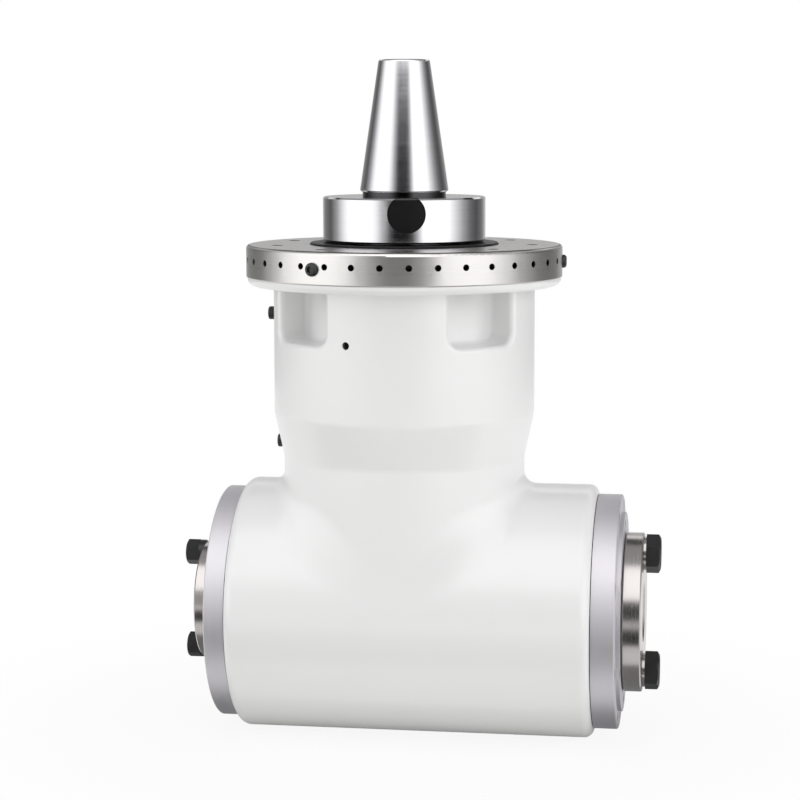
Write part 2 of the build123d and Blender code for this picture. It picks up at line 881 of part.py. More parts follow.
# Input arbor: the taper shank, the drive flange and the shaft are one piece
with BuildPart() as input_arbor:
    turn(
        input_line,
        [
            (0, output_z + gear_nut_start - thread_end),
            (input_thread_r, output_z + gear_nut_start - thread_end),
            (input_thread_r, output_z + gear_inner_face),
            (input_gear_seat_r, output_z + gear_inner_face),
            (input_gear_seat_r, gear_hub_z),
            (lower_seat_r, gear_hub_z),
            (lower_seat_r, lower_top_z),
            (arbor_waist_r, lower_top_z),
            (arbor_waist_r, upper_end_z - upper_nut_width),
            (upper_thread_r, upper_end_z - upper_nut_width),
            (upper_thread_r, upper_end_z),
            (upper_seat_r, upper_end_z),
            (upper_seat_r, -upper_bearing_top),
            (seal_journal_r, -upper_bearing_top),
            (seal_journal_r, drive_flange_lift),
            (drive_flange_r, drive_flange_lift),
            (drive_flange_r, flange_top),
            (groove_r, flange_top),
            (groove_r, gauge_z - taper_base_bevel),
            (taper_gauge_r - taper_base_bevel, gauge_z - taper_base_bevel),
            (taper_gauge_r, gauge_z),
            (taper_tip_r, tip_z),
            (0, tip_z),
        ],
        rounds=[((taper_tip_r, tip_z), taper_tip_round)],
        bevels=[
            ((drive_flange_r, drive_flange_lift), drive_flange_bevel),
            ((drive_flange_r, flange_top), drive_flange_bevel),
        ],
    )
    with Locations((0, 0, tip_z)):
        CounterBoreHole(stud_tap_r, stud_mouth_r, stud_mouth_depth, stud_tap_depth)
    with Locations((0, 0, drive_slot_z)):
        with PolarLocations(drive_flange_r, drive_slot_count, start_angle=drive_slot_turn):
            drill(drive_slot_r, drive_slot_depth)
    add(gear_key(drive_gear_line, input_gear_seat_r, seat_gap), mode=Mode.SUBTRACT)

insert_face_r = drive_flange_r - insert_setback
with BuildPart() as drive_inserts:
    with Locations((0, 0, drive_slot_z)):
        with PolarLocations(drive_flange_r, drive_slot_count, start_angle=drive_slot_turn):
            Cylinder(
                drive_slot_r - turning_gap,
                drive_slot_depth,
                rotation=(0, 90, 0),
                align=(Align.CENTER, Align.CENTER, Align.MAX),
            )
    ring(input_line, 0, insert_face_r, drive_flange_lift, flange_top - insert_trim, mode=Mode.INTERSECT)

# Input bearings with their spacers and locknut
upper_set = bearings(input_line, upper_seat_r, upper_outer_r, upper_width, upper_starts)
upper_gap = (upper_starts[1] + upper_width, upper_starts[0])
upper_inner_spacer = spacer(input_line, upper_seat_r + seat_gap, upper_seat_r + spacer_wall, *upper_gap)
upper_outer_spacer = spacer(input_line, upper_outer_r - spacer_wall, upper_outer_r - seat_gap, *upper_gap)
upper_locknut = slotted_nut(
    input_line, upper_thread_r, upper_nut_r, upper_end_z - upper_nut_width, upper_nut_width
)
lower_set = bearings(input_line, lower_seat_r, lower_outer_r, lower_width, (gear_hub_z,))

# Drive gear on the arbor, with its key and nut
drive_gear = mitre_gear(drive_gear_line, input_gear_seat_r, 0)
drive_gear_key = gear_key(drive_gear_line, input_gear_seat_r)
drive_gear_nut = slotted_nut(
    drive_gear_line, input_thread_r, input_gear_nut_r, gear_nut_start, gear_nut_width
)

# Output spindle: the right nose with its taper socket is one piece with the shaft
with BuildPart() as output_spindle:
    turn(
        output_line,
        [
            (drawbar_r, -spindle_end),
            (left_thread_r, -spindle_end),
            (left_thread_r, -left_nut_start),
            (left_nose_seat_r, -left_nut_start),
            (left_nose_seat_r, -left_bearing_end),
            (left_seat_r, -left_bearing_end),
            (left_seat_r, -left_bearing_start),
            (spindle_waist_r, -left_bearing_start),
            (spindle_waist_r, gear_nut_start - thread_end),
            (output_thread_r, gear_nut_start - thread_end),
            (output_thread_r, gear_inner_face),
            (output_gear_seat_r, gear_inner_face),
            (output_gear_seat_r, gear_hub_end),
            (right_seat_r, gear_hub_end),
            (right_seat_r, right_bearing_end),
            (right_journal_r, right_bearing_end),
            (right_journal_r, nose_back),
            (nose_r, nose_back),
            (nose_r, nose_face),
            (socket_gauge_r + socket_bevel, nose_face),
            (socket_gauge_r, nose_face - socket_bevel),
            (socket_gauge_r - socket_depth * taper_per_length / 2, nose_face - socket_depth),
            (drawbar_r, nose_face - socket_depth),
        ],
        bevels=[((nose_r, nose_face), nose_bevel), ((nose_r, nose_back), nose_bevel)],
    )
    with Locations(output_line.across(nose_face)), PolarLocations(right_bolt_circle_r, nose_bolt_count):
        Hole(right_bolt_r + thread_gap, depth=right_bolt_length + thread_gap)
    add(gear_key(output_line, output_gear_seat_r, seat_gap), mode=Mode.SUBTRACT)
    add(left_nose_key_block(seat_gap), mode=Mode.SUBTRACT)

# Driven gear on the spindle, half a tooth round so that it meshes, with its key and nut
driven_gear = mitre_gear(output_line, output_gear_seat_r, 0.5)
driven_gear_key = gear_key(output_line, output_gear_seat_r)
driven_gear_nut = slotted_nut(
    output_line, output_thread_r, output_gear_nut_r, gear_nut_start, gear_nut_width
)

# Output bearings with their spacers
right_set = bearings(output_line, right_seat_r, right_outer_r, right_width, right_starts)
right_gap = (right_starts[0] + right_width, right_starts[1])
right_inner_spacer = spacer(output_line, right_seat_r + seat_gap, right_seat_r + spacer_wall, *right_gap)
right_outer_spacer = spacer(output_line, right_outer_r - spacer_wall, right_outer_r - seat_gap, *right_gap)
left_set = bearings(left_line, left_seat_r, left_outer_r, left_width, (left_bearing_start,))


def gasket(line, bore, face):
    """A thin gasket between the barrel's end face and a cover."""
    with BuildPart() as sheet:
        ring(line, bore + gasket_margin, cover_r - gasket_margin, face, face + gasket_thick)
        with Locations(*cover_screw_places(line, face + gasket_thick)):
            Hole(cover_screw_r + hole_gap / 2)
    return sheet.part


def end_cover(line, inside, outside, profile):
    """An end cover turned to a profile, with counterbored holes for its screws."""
    with BuildPart() as cover:
        turn(line, profile, bevels=[((cover_r, outside), cover_bevel)])
        with Locations(*cover_screw_places(line, outside)):
            CounterBoreHole(
                cover_screw_r + hole_gap / 2,
                cover_screw_head_r + hole_gap / 2,
                cover_screw_head_height + sink_depth,
                outside - inside,
            )
    return cover.part


def cover_screws(line, outside):
    """The screws of an end cover, in their counterbores."""
    screw = socket_screw(cover_screw_r, cover_screw_length, cover_screw_head_r, cover_screw_head_height)
    with BuildPart() as screws:
        with Locations(*cover_screw_places(line, outside - cover_screw_head_height - sink_depth)):
            add(screw)
    return screws.part


# Right end: gasket, cover with its spigot and seal, and the thin labyrinth ring
right_gasket = gasket(output_line, right_outer_r, barrel_right)
right_spigot_r = right_outer_r - turning_gap
right_cover_bore = right_journal_r + right_cover_bore_air
right_cover_blank = end_cover(
    output_line,
    right_cover_in,
    right_cover_out,
    [
        (right_cover_bore, right_cover_in),
        (right_spigot_r - right_spigot_wall, right_cover_in),
        (right_spigot_r - right_spigot_wall, right_bearing_end),
        (right_spigot_r, right_bearing_end),
        (right_spigot_r, right_cover_in),
        (cover_r, right_cover_in),
        (cover_r, right_cover_out),
        (right_seal_r, right_cover_out),
        (right_seal_r, right_seal_start),
        (right_cover_bore, right_seal_start),
    ],
)
with BuildPart() as right_cover:
    add(right_cover_blank)
    with Locations(output_line.across(right_cover_out)):
        with PolarLocations(labyrinth_screw_circle_r, labyrinth_screw_count):
            Hole(flat_screw_r + thread_gap, depth=flat_screw_length + tap_reserve - labyrinth_thick)

right_cover_screws = cover_screws(output_line, right_cover_out)
right_seal = lip_seal(output_line, right_journal_r, right_seal_r, right_seal_start, right_seal_width)

with BuildPart() as labyrinth_ring:
    ring(output_line, right_journal_r + labyrinth_bore_air, labyrinth_r, right_cover_out, labyrinth_out)
    with Locations(output_line.across(labyrinth_out)):
        with PolarLocations(labyrinth_screw_circle_r, labyrinth_screw_count):
            flat_screw_holes(labyrinth_thick)

with BuildPart(output_line.across(labyrinth_out)) as labyrinth_screws:
    with PolarLocations(labyrinth_screw_circle_r, labyrinth_screw_count):
        add(flat_screw)

# Left end: gasket, cover with its spigot and seal
left_gasket = gasket(left_line, left_outer_r, barrel_left)
left_spigot_r = left_outer_r - turning_gap
left_cover = end_cover(
    left_line,
    left_cover_in,
    left_cover_out,
    [
        (left_spigot_r - left_spigot_wall, left_bearing_end),
        (left_spigot_r, left_bearing_end),
        (left_spigot_r, left_cover_in),
        (cover_r, left_cover_in),
        (cover_r, left_cover_out),
        (left_seal_r, left_cover_out),
        (left_seal_r, left_seal_start),
        (left_spigot_r - left_spigot_wall, left_seal_start),
    ],
)
left_cover_screws = cover_screws(left_line, left_cover_out)
left_seal = lip_seal(left_line, left_hub_r, left_seal_r, left_seal_start, left_seal_width)

# Left nose: a keyed flange on the spindle's end, with its key and locknut
with BuildPart() as left_nose:
    turn(
        left_line,
        [
            (left_nose_seat_r + seat_gap, left_bearing_end),
            (left_hub_r, left_bearing_end),
            (left_hub_r, left_nose_back),
            (left_nose_r, left_nose_back),
            (left_nose_r, left_nose_face),
            (left_recess_r, left_nose_face),
            (left_recess_r, left_nut_start),
            (left_nose_seat_r + seat_gap, left_nut_start),
        ],
        bevels=[((left_nose_r, left_nose_back), nose_bevel), ((left_nose_r, left_nose_face), nose_bevel)],
    )
    keyway(
        left_line,
        left_nose_seat_r,
        left_bearing_end,
        left_nut_start,
        left_key_width,
        left_key_height - left_key_depth + face_gap,
    )
    with Locations(left_line.across(left_nose_face)), PolarLocations(left_bolt_circle_r, nose_bolt_count):
        Hole(left_bolt_r + thread_gap, depth=left_bolt_length)

left_nose_key = left_nose_key_block()
left_nose_nut = slotted_nut(left_line, left_thread_r, left_nut_r, left_nut_start, left_nut_width)


def nose_bolts(line, seat, circle_r, bolt):
    """Two hex bolts in a nose, with their heads standing on a seat."""
    with BuildPart(line.across(seat)) as bolts:
        with PolarLocations(circle_r, nose_bolt_count):
            add(bolt)
    return bolts.part


def nose_collars(line, face, circle_r, hole_r, outside, thick):
    """The two collars between a nose and its bolt heads."""
    with BuildPart(line.across(face)) as collars:
        with PolarLocations(circle_r, nose_bolt_count):
            Cylinder(outside, thick, align=(Align.CENTER, Align.CENTER, Align.MIN))
            Cylinder(hole_r + thread_gap, 3 * thick, mode=Mode.SUBTRACT)
    return collars.part


# Hex bolts with a washer on the right nose and a taller collar on the left one
right_bolt = hex_bolt(
    right_bolt_flats,
    right_bolt_head,
    right_bolt_r,
    right_bolt_length + right_collar_thick,
    bolt_dish_depth,
)
right_nose_bolts = nose_bolts(output_line, nose_face + right_collar_thick, right_bolt_circle_r, right_bolt)
right_bolt_washers = nose_collars(
    output_line, nose_face, right_bolt_circle_r, right_bolt_r, right_collar_r, right_collar_thick
)
left_bolt = hex_bolt(left_bolt_flats, left_bolt_head, left_bolt_r, left_bolt_length, bolt_dish_depth)
left_nose_bolts = nose_bolts(left_line, left_nose_face + left_collar_thick, left_bolt_circle_r, left_bolt)
left_bolt_collars = nose_collars(
    left_line, left_nose_face, left_bolt_circle_r, left_bolt_r, left_collar_r, left_collar_thick
)

# Every piece under its own name
pieces = {
    "index_ring": index_ring.part,
    "rim_screws": rim_screws.part,
    "housing": housing.part,
    "lube_plugs": lube_plugs.part,
    "t_nuts": t_nuts.part,
    "clamp_bolts": clamp_bolts.part,
    "clamp_washers": clamp_washers.part,
    "upper_cap": upper_cap.part,
    "upper_cap_screws": upper_cap_screws.part,
    "input_seal": input_seal,
    "seal_cover": seal_cover.part,
    "seal_cover_screws": seal_cover_screws.part,
    "input_arbor": input_arbor.part,
    "drive_inserts": drive_inserts.part,
    "upper_inner_races": upper_set[0],
    "upper_outer_races": upper_set[1],
    "upper_rollers": upper_set[2],
    "upper_inner_spacer": upper_inner_spacer,
    "upper_outer_spacer": upper_outer_spacer,
    "upper_locknut": upper_locknut,
    "lower_inner_race": lower_set[0],
    "lower_outer_race": lower_set[1],
    "lower_rollers": lower_set[2],
    "drive_gear": drive_gear,
    "drive_gear_key": drive_gear_key,
    "drive_gear_nut": drive_gear_nut,
    "output_spindle": output_spindle.part,
    "driven_gear": driven_gear,
    "driven_gear_key": driven_gear_key,
    "driven_gear_nut": driven_gear_nut,
    "right_inner_races": right_set[0],
    "right_outer_races": right_set[1],
    "right_rollers": right_set[2],
    "right_inner_spacer": right_inner_spacer,
    "right_outer_spacer": right_outer_spacer,
    "left_inner_race": left_set[0],
    "left_outer_race": left_set[1],
    "left_rollers": left_set[2],
    "right_gasket": right_gasket,
    "right_cover": right_cover.part,
    "right_cover_screws": right_cover_screws,
    "right_seal": right_seal,
    "labyrinth_ring": labyrinth_ring.part,
    "labyrinth_screws": labyrinth_screws.part,
    "left_gasket": left_gasket,
    "left_cover": left_cover,
    "left_cover_screws": left_cover_screws,
    "left_seal": left_seal,
    "left_nose": left_nose.part,
    "left_nose_key": left_nose_key,
    "left_nose_nut": left_nose_nut,
    "right_nose_bolts": right_nose_bolts,
    "right_bolt_washers": right_bolt_washers,
    "left_nose_bolts": left_nose_bolts,
    "left_bolt_collars": left_bolt_collars,
}
for name, piece in pieces.items():
    piece.label = name
    export_step(piece, f"parts/{name}.step")
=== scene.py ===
"""Finishes, cut threads and a plain studio for a right angle milling head, laid out as an add-on."""

import json
import math

import bpy
import numpy as np
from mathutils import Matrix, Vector


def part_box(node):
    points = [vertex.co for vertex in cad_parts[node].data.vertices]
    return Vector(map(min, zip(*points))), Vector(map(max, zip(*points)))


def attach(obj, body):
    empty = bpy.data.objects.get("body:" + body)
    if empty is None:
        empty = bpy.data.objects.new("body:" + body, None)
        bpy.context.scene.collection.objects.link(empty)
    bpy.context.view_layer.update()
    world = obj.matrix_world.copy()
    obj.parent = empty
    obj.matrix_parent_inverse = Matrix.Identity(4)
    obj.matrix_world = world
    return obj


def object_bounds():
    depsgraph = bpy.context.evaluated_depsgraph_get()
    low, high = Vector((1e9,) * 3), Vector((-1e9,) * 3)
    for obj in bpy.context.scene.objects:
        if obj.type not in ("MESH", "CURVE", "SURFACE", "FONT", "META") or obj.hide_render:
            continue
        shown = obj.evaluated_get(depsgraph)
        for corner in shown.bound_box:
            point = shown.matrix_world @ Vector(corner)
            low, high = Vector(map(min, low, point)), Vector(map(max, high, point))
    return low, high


bl_info = {
    "name": "Right angle milling head",
    "version": (1, 0, 0),
    "blender": (4, 5, 0),
    "location": "3D View > Sidebar > Milling head",
    "description": "Metal and enamel finishes, cut threads and a plain studio for a milling head",
    "category": "Object",
}

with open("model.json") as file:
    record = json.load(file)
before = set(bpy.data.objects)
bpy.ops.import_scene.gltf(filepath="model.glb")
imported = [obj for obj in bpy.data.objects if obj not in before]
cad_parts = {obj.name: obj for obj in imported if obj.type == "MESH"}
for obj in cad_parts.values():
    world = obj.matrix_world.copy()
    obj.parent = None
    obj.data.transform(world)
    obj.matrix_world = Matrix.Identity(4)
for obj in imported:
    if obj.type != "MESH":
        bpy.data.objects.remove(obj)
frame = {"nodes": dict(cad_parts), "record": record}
cad_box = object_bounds()
mounts = {mount["name"]: mount for mount in frame["record"]["mounts"]}
bodies = frame["record"]["behaviour"]["bodies"]
output_z = mounts["drawbar_bore"]["pos_m"][2]
gauge_z = mounts["input_taper"]["pos_m"][2]
rim_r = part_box("index_ring")[1].x

MM = 0.001

# The undercut between the taper and its flange, and how far its painted shade stays clear of both
groove_radius = 33.0 * MM
groove_height = 5.0 * MM
groove_margin = 0.4 * MM
groove_step = 1.0 * MM

# The ring's holes get painted shade, nearly black, from this far below its top face, and this far in from
# its rim
hole_step = 0.03 * MM
rim_band = 1.2 * MM

# Nearly all of a noise's values lie in this range
noise_range = {"From Min": 0.3, "From Max": 0.7}

# The studio wall's grey levels by the angle from the front, which grows towards +X
low_levels = (
    (-180, 0.75), (-162, 0.66), (-141, 0.42), (-116, 0.3), (-100, 0.55), (-82, 0.9), (-70, 1.0),
    (-42, 1.0), (-31, 0.9), (-21, 0.62), (-11, 0.26), (-4, 0.05), (12, 0.05), (20, 0.24), (27, 0.62),
    (36, 1.0), (70, 1.0), (86, 0.78), (99, 0.57), (113, 0.38), (129, 0.27), (149, 0.4), (166, 0.62),
    (180, 0.75),
)
# Above the ring's height its back is darker, which the ring's top face shows
back_turn = 155
back_level = 0.56
middle_levels = [(turn, back_level if abs(turn) > back_turn else level) for turn, level in low_levels]
high_levels = (
    (-180, 0.9), (-150, 0.8), (-120, 0.5), (-100, 0.7), (-75, 1.0), (75, 1.0), (100, 0.7), (120, 0.5),
    (150, 0.8), (180, 0.9),
)


def linear(code):
    """The linear colour of an sRGB hex value: a straight toe, then the 2.4 power curve."""
    parts = [int(code[at : at + 2], 16) / 255 for at in (0, 2, 4)]
    return [c / 12.92 if c <= 0.04045 else ((c + 0.055) / 1.055) ** 2.4 for c in parts]


def colour(name, code, description):
    """A colour that a user may change."""
    return bpy.props.FloatVectorProperty(
        name=name, description=description, default=linear(code), size=3, subtype="COLOR", min=0, max=1
    )


def length(name, metres, description):
    """A length that a user may change."""
    return bpy.props.FloatProperty(name=name, description=description, default=metres, unit="LENGTH")


def factor(name, value, description):
    """A plain number that a user may change."""
    return bpy.props.FloatProperty(name=name, description=description, default=value, min=0)


class MillingHeadFinishes(bpy.types.PropertyGroup):
    """Colours of the finishes."""

    enamel: colour("Enamel", "F8F8F8", "Gloss enamel on the cast housing")
    ring: colour("Ring steel", "CFCDCB", "Satin ground steel of the index ring")
    arbor: colour("Arbor steel", "D2D1D4", "Polished ground steel of the taper and its flange")
    cover: colour("Cover steel", "DCDADE", "Satin turned steel of the end covers")
    nose: colour("Nose steel", "C3BEBC", "Turned steel of the two noses")
    oxide: colour("Black oxide", "1B1B1D", "Blackened screws, bolts and plugs")
    seal_cover: colour("Seal cover", "0B0B0C", "Baked black seal cover")
    insert: colour("Drive inserts", "0C0C0D", "Black round inserts in the drive slots")
    rubber: colour("Seal rubber", "161616", "Nitrile lip seals")
    gasket: colour("Gasket sheet", "0C0B0B", "Dark sheet between the barrel and its covers")
    gear: colour("Gear steel", "9C9A9A", "Oiled case hardened gears and keys")
    bearing: colour("Bearing steel", "CFCFD1", "Polished races and rollers")


class MillingHeadThreads(bpy.types.PropertyGroup):
    """Sizes of the cut threads."""

    port_radius: length("Port radius", 3.0 * MM, "Radius of the air port")
    port_depth: length("Port depth", 14.0 * MM, "Depth of the air port")
    port_pitch: length("Port pitch", 1.0 * MM, "Thread pitch in the air port")
    stud_pitch: length("Pull stud pitch", 3.0 * MM, "Thread pitch in the end of the taper")
    crest_share: factor("Crest height", 0.3, "Height of a thread's crest as a share of its pitch")


class MillingHeadBlend(bpy.types.PropertyGroup):
    """Sizes of the soft blend between the neck and the barrel."""

    neck_radius: length("Neck radius", 96.0 * MM, "Radius of the neck where it meets the barrel")
    barrel_radius: length("Barrel radius", 100.5 * MM, "Radius of the barrel")
    side_round: length("Round at the sides", 10.6 * MM, "Radius of the blend at the two sides")
    front_round: length("Round at the front", 110.0 * MM, "Radius of the blend at the front and the back")
    fade: factor("Fade", 4.4, "How fast the front's radius fades towards the sides")
    proud: length("Proud", 0.04 * MM, "How far the blend's edges stand out of the casting")
    sink: length("Sink", 0.5 * MM, "How deep the ridge's underside lies in the casting")


class MillingHeadStudio(bpy.types.PropertyGroup):
    """Camera, lamps and floor."""

    camera_place: bpy.props.FloatVectorProperty(
        name="Camera place",
        description="Where the camera stands",
        default=(0.26298, -1.76197, 0.09853),
        subtype="XYZ",
        unit="LENGTH",
    )
    camera_turn: bpy.props.FloatVectorProperty(
        name="Camera turn",
        description="The camera's turns about X, Y and Z",
        default=[math.radians(turn) for turn in (82.8585, 0.0647, 8.5956)],
        subtype="EULER",
    )
    lens: factor("Lens", 101.18, "Focal length in millimetres on a 36 mm sensor")
    lamp_level: factor("Lamp level", 1.56, "Brightness of the softboxes, where 1 is white")
    sky_level: factor("Sky level", 0.42, "Brightness of the room's light")
    wall_level: factor("Wall level", 1.9, "Brightness of the wall that the steel reflects")
    room_radius: length("Room radius", 2.4, "Distance from the head to the softboxes and cards")
    floor_colour: colour("Floor", "F2F2F0", "Pale studio floor")
    floor_lift: factor("Floor lift", 0.9, "How far the floor by the head is lifted towards white")
    shadow_start: length("Shadow start", 0.1, "Inside this the floor is lifted least")
    shadow_reach: length("Shadow reach", 0.5, "Where the floor has become quite white")
    card_black: colour("Black card", "222123", "Black cards that the steel reflects")
    card_grey: colour("Grey card", "B0AFB1", "Grey card above the head")
    card_shade: colour("Shade card", "8A8A8B", "Grey card under the head")


def add_node(tree, kind, inputs=None, **settings):
    """Add a node with its settings, and set or link its inputs."""
    made = tree.nodes.new(kind)
    for name, value in settings.items():
        setattr(made, name, value)
    for name, value in (inputs or {}).items():
        if isinstance(value, bpy.types.NodeSocket):
            tree.links.new(value, made.inputs[name])
        else:
            made.inputs[name].default_value = value
    return made


def empty_material(name):
    """A material with no nodes yet, and its node tree."""
    material = bpy.data.materials.new(name)
    material.use_nodes = True
    material.node_tree.nodes.clear()
    return material, material.node_tree


def new_material(name, **shader):
    """A material with a Principled shader whose sockets are set by their names."""
    material, tree = empty_material(name)
    surface = add_node(tree, "ShaderNodeBsdfPrincipled")
    add_node(tree, "ShaderNodeOutputMaterial", {"Surface": surface.outputs["BSDF"]})
    for socket, value in shader.items():
        surface.inputs[socket.replace("_", " ")].default_value = value
    return material, tree, surface


def link_finish(tree, surface, tone, rough, bump):
    """Link a finish's colour, roughness and bump to its shader."""
    tree.links.new(tone.outputs["Result"], surface.inputs["Base Color"])
    tree.links.new(rough.outputs["Result"], surface.inputs["Roughness"])
    tree.links.new(bump.outputs["Normal"], surface.inputs["Normal"])


def rgba(value):
    """A colour with full alpha."""
    return (*value, 1.0)


def shaded(value, share):
    """A colour made darker by a share."""
    return rgba([part * share for part in value])


def on_the_lathe(tree, line_z=None):
    """Coordinates for marks left by turning: radius from the line, place along it, both in metres.

    A mark that depends on these two alone runs round the piece, on its rim and on its faces. The line is
    Z through the origin, or runs along X at the height line_z.
    """
    place = add_node(tree, "ShaderNodeTexCoord").outputs["Object"]
    if line_z is None:
        parts = add_node(tree, "ShaderNodeSeparateXYZ", {"Vector": place})
        along, first, second = parts.outputs["Z"], parts.outputs["X"], parts.outputs["Y"]
    else:
        centred = add_node(tree, "ShaderNodeMapping", {"Vector": place, "Location": (0, 0, -line_z)})
        parts = add_node(tree, "ShaderNodeSeparateXYZ", {"Vector": centred.outputs["Vector"]})
        along, first, second = parts.outputs["X"], parts.outputs["Y"], parts.outputs["Z"]
    across = add_node(tree, "ShaderNodeCombineXYZ", {"X": first, "Y": second})
    radius = add_node(tree, "ShaderNodeVectorMath", {0: across.outputs["Vector"]}, operation="LENGTH")
    made = add_node(tree, "ShaderNodeCombineXYZ", {"X": radius.outputs["Value"], "Y": along})
    return place, made.outputs["Vector"]


def painted_shade_mask(tree, turned, radius, low, high):
    """1 inside a radius from the line and between two places along it: where painted shade goes."""
    parts = add_node(tree, "ShaderNodeSeparateXYZ", {"Vector": turned})
    inside = add_node(tree, "ShaderNodeMath", {0: parts.outputs["X"], 1: radius}, operation="LESS_THAN")
    between = add_node(
        tree,
        "ShaderNodeMath",
        {0: parts.outputs["Y"], 1: (low + high) / 2, 2: (high - low) / 2},
        operation="COMPARE",
    )
    both = {0: inside.outputs["Value"], 1: between.outputs["Value"]}
    return add_node(tree, "ShaderNodeMath", both, operation="MULTIPLY").outputs["Value"]


def lathe_metal(name, tint, roughness, spread, mark, depth, line_z=None, painted_shade_at=None):
    """Bare steel with fine marks running round a line, and a faint mottle of handling.

    The marks are mark wide and depth deep, and the roughness varies by spread to both sides.
    Where painted_shade_at gives a radius and two places along the line, the steel is painted nearly
    black there: painted shade in holes and undercuts.
    """
    handling = 24 * MM
    dull = shaded(tint, 0.86)
    painted_shade_tone = shaded(tint, 0.08)
    material, tree, surface = new_material(name, Metallic=1.0)
    place, turned = on_the_lathe(tree, line_z)
    marks = add_node(
        tree,
        "ShaderNodeTexNoise",
        {"Vector": turned, "Scale": 1 / mark, "Detail": 3.0, "Roughness": 0.6},
        noise_dimensions="2D",
    )
    mottle = add_node(tree, "ShaderNodeTexNoise", {"Vector": place, "Scale": 1 / handling, "Detail": 4.0})
    both = add_node(
        tree,
        "ShaderNodeMix",
        {"Factor": 0.35, "A": marks.outputs["Fac"], "B": mottle.outputs["Fac"]},
    )
    rough = add_node(
        tree,
        "ShaderNodeMapRange",
        {
            "Value": both.outputs["Result"],
            **noise_range,
            "To Min": roughness - spread,
            "To Max": roughness + spread,
        },
    )
    tone = add_node(
        tree,
        "ShaderNodeMix",
        {"Factor": both.outputs["Result"], "A": dull, "B": rgba(tint)},
        data_type="RGBA",
    )
    # Painted shade: inside the mask the colour is set nearly black, standing for the shadow in holes and
    # undercuts
    if painted_shade_at:
        painted_shade_share = painted_shade_mask(tree, turned, *painted_shade_at)
        tone = add_node(
            tree,
            "ShaderNodeMix",
            {"Factor": painted_shade_share, "A": tone.outputs["Result"], "B": painted_shade_tone},
            data_type="RGBA",
        )
    bump = add_node(
        tree,
        "ShaderNodeBump",
        {"Strength": 0.6, "Distance": depth, "Height": marks.outputs["Fac"]},
    )
    link_finish(tree, surface, tone, rough, bump)
    return material


def gloss_enamel(tint):
    """Two-part gloss enamel sprayed on filled cast iron: white, wet looking, with a faint orange peel."""
    peel_size = 4 * MM
    filler_size = 55 * MM
    material, tree, surface = new_material("gloss_enamel", IOR=1.5, Coat_Weight=0.3, Coat_Roughness=0.14)
    place = add_node(tree, "ShaderNodeTexCoord").outputs["Object"]
    peel = add_node(tree, "ShaderNodeTexNoise", {"Vector": place, "Scale": 1 / peel_size, "Detail": 2.0})
    filler = add_node(tree, "ShaderNodeTexNoise", {"Vector": place, "Scale": 1 / filler_size, "Detail": 3.0})
    tone = add_node(
        tree,
        "ShaderNodeMix",
        {"Factor": filler.outputs["Fac"], "A": shaded(tint, 0.985), "B": rgba(tint)},
        data_type="RGBA",
    )
    rough = add_node(
        tree,
        "ShaderNodeMapRange",
        {"Value": filler.outputs["Fac"], **noise_range, "To Min": 0.3, "To Max": 0.34},
    )
    ripple = add_node(
        tree,
        "ShaderNodeBump",
        {"Strength": 0.25, "Distance": 0.04 * MM, "Height": peel.outputs["Fac"]},
    )
    wave = add_node(
        tree,
        "ShaderNodeBump",
        {
            "Strength": 0.1,
            "Distance": 0.3 * MM,
            "Height": filler.outputs["Fac"],
            "Normal": ripple.outputs["Normal"],
        },
    )
    link_finish(tree, surface, tone, rough, wave)
    return material


def dark_coat(name, tint, roughness, sheen, grain, depth):
    """A dark, fine grained coat such as black oxide, moulded rubber or sheet, with a slight mottle."""
    mottle_size = 9 * MM
    material, tree, surface = new_material(name, IOR=1.5, Specular_IOR_Level=sheen)
    place = add_node(tree, "ShaderNodeTexCoord").outputs["Object"]
    fine = add_node(tree, "ShaderNodeTexNoise", {"Vector": place, "Scale": 1 / grain, "Detail": 4.0})
    broad = add_node(tree, "ShaderNodeTexNoise", {"Vector": place, "Scale": 1 / mottle_size, "Detail": 3.0})
    tone = add_node(
        tree,
        "ShaderNodeMix",
        {"Factor": broad.outputs["Fac"], "A": shaded(tint, 0.7), "B": shaded(tint, 1.35)},
        data_type="RGBA",
    )
    rough = add_node(
        tree,
        "ShaderNodeMapRange",
        {
            "Value": broad.outputs["Fac"],
            **noise_range,
            "To Min": roughness - 0.06,
            "To Max": roughness + 0.08,
        },
    )
    bump = add_node(
        tree,
        "ShaderNodeBump",
        {"Strength": 0.4, "Distance": depth, "Height": fine.outputs["Fac"]},
    )
    link_finish(tree, surface, tone, rough, bump)
    return material


def give(material, *names):
    """Put a material on CAD nodes, in the slots that they have."""
    for name in names:
        for slot in frame["nodes"][name].material_slots:
            slot.material = material


def make_mesh(name, points, faces):
    """A smooth mesh object from whole arrays of points and quads, at the origin."""
    mesh = bpy.data.meshes.new(name)
    mesh.from_pydata(points.reshape(-1, 3).tolist(), [], faces.tolist())
    mesh.polygons.foreach_set("use_smooth", np.full(len(mesh.polygons), True))
    mesh.update()
    piece = bpy.data.objects.new(name, mesh)
    bpy.context.scene.collection.objects.link(piece)
    return piece


def grid_faces(rows, columns, close_rows=False, close_columns=False):
    """Quads of a grid of points, each from a point to the next along both ways."""
    row = np.arange(rows if close_rows else rows - 1)[:, None]
    column = np.arange(columns if close_columns else columns - 1)[None, :]
    beside = (column + 1) % columns
    below = (row + 1) % rows * columns
    corners = (row * columns + column, row * columns + beside, below + beside, below + column)
    return np.stack(np.broadcast_arrays(*corners), axis=-1).reshape(-1, 4)


